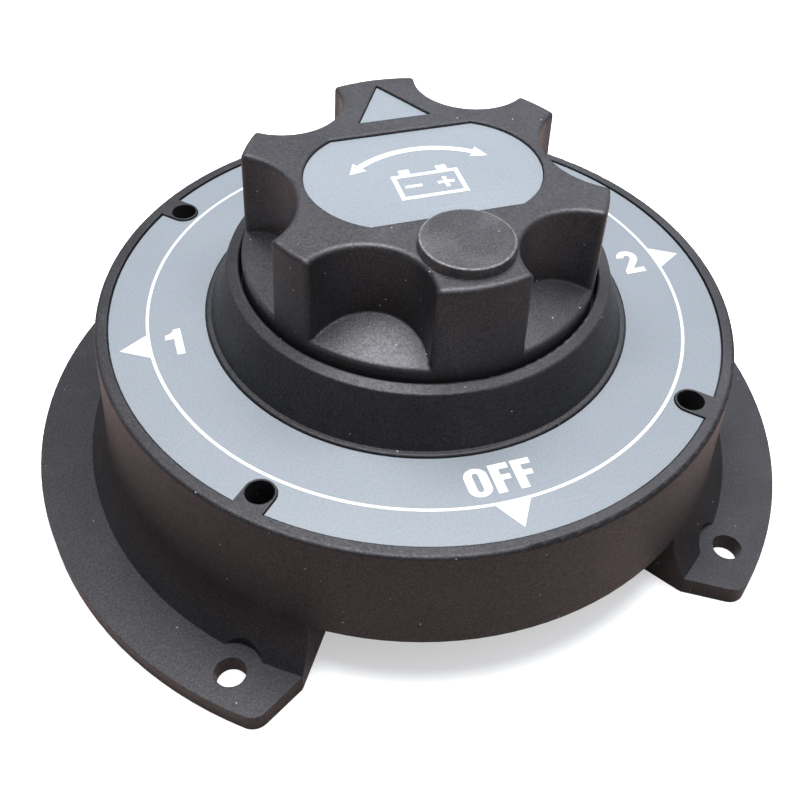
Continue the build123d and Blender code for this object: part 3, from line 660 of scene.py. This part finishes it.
def spring_pair(name, node, shape):
    """Two coils in place of a CAD node, built at rest; in the switch they are held by the knob at one end and
    pressed by a moving part.
    """
    low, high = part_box(node)
    reach = shape["radius"] + shape["wire"]
    near, far = low + Vector((reach, reach, 0)), high - Vector((reach, reach, 0))
    build = bmesh.new()
    for place in ((near.x, near.y), (far.x, far.y)):
        coil(build, place, low.z, high.z, **shape)
    bmesh.ops.recalc_face_normals(build, faces=build.faces)
    for face in build.faces:
        face.smooth = True
    piece = dressed_piece(name, mesh_of(build, name), MATERIALS["spring_steel"])
    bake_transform(piece)
    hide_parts(node)


def springs():
    spring_pair("contact_coils", "contact_springs", CONTACT_COIL)
    spring_pair("detent_coils", "detent_springs", DETENT_COIL)


# ---------------------------------------------------------------- stage, light and camera
def direction(azimuth, elevation):
    """The unit vector from the object towards a viewer at an azimuth from -Y and an elevation."""
    return Vector((sin(azimuth) * cos(elevation), -cos(azimuth) * cos(elevation), sin(elevation)))


def overhead_light():
    """A round softbox hung over the object and a little behind it, hidden from the camera."""
    data = bpy.data.lights.new("overhead", "AREA")
    data.shape = "DISK"
    data.size = SOFTBOX_WIDTH
    data.energy = SOFTBOX_POWER
    data.color = COOL_WHITE
    lamp = place_in_scene("overhead", data)
    lamp.location = direction(SOFTBOX_AZIMUTH, 0.0) * SOFTBOX_BACK + Vector((0, 0, SOFTBOX_HEIGHT))
    lamp.visible_camera = False


def distant_light(name, azimuth, elevation, spread, strength, colour):
    """A broad distant softbox at an azimuth and elevation, spread degrees across."""
    data = bpy.data.lights.new(name, "SUN")
    data.angle = radians(spread)
    data.energy = strength
    data.color = colour
    lamp = place_in_scene(name, data)
    away = direction(radians(azimuth), radians(elevation))
    lamp.rotation_euler = (-away).to_track_quat("-Z", "Y").to_euler()


def studio_walls():
    """Walls that brighten towards the back, dark below the horizon, and plain white to the camera."""
    world = bpy.data.worlds.new("studio")
    world.use_nodes = True
    bpy.context.scene.world = world
    w = Nodes(world.node_tree)
    sight = w.node("TexCoord").outputs["Generated"]
    backwards = -direction(CAMERA_AZIMUTH, 0.0)
    backness = w.node("VectorMath", {0: sight, 1: backwards}, operation="DOT_PRODUCT").outputs["Value"]
    above = w.maths("GREATER_THAN", w.node("SeparateXYZ", {0: sight}).outputs["Z"], 0.0)
    walls = w.node("MapRange", {"Value": backness, "From Min": WALL_START, "To Min": WALL_DIM,
                                "To Max": WALL_BRIGHT}, interpolation_type="SMOOTHSTEP").outputs[0]
    seen = w.node("LightPath").outputs["Is Camera Ray"]
    brightness = w.node("Mix", {0: seen, 2: w.maths("MULTIPLY", walls, above), 3: BACKDROP}).outputs[0]
    background = w.tree.nodes["Background"]
    w.connect(background, "Strength", brightness)
    w.connect(background, "Color", rgb(0.93, 0.965, 1.05))


def soft_light():
    """The overhead softbox, a fill from the front right, a lamp for the underside, and the studio's walls."""
    overhead_light()
    distant_light("front_fill", **FRONT_FILL)
    distant_light("from_below", **FROM_BELOW)
    studio_walls()


def floor():
    build = bmesh.new()
    bmesh.ops.create_grid(build, x_segments=FLOOR_SQUARES, y_segments=FLOOR_SQUARES, size=FLOOR_HALF_SIZE)
    dressed_piece("floor", mesh_of(build, "floor"), pale_floor("pale_floor"))


def camera():
    data = bpy.data.cameras.new("camera")
    data.lens = CAMERA_LENS
    data.clip_start = CAMERA_NEAREST
    seat = place_in_scene("camera", data)
    level = (-direction(CAMERA_AZIMUTH, CAMERA_ELEVATION)).to_track_quat("-Z", "Y").to_matrix()
    seat.location = CAMERA_PLACE
    seat.rotation_euler = (level @ Matrix.Rotation(CAMERA_ROLL, 3, "Z")).to_euler()
    bpy.context.scene.camera = seat


dress_cad_nodes()
print_face()
stud_threads()
springs()
soft_light()
floor()
camera()
bpy.context.scene.view_settings.view_transform = "Standard"
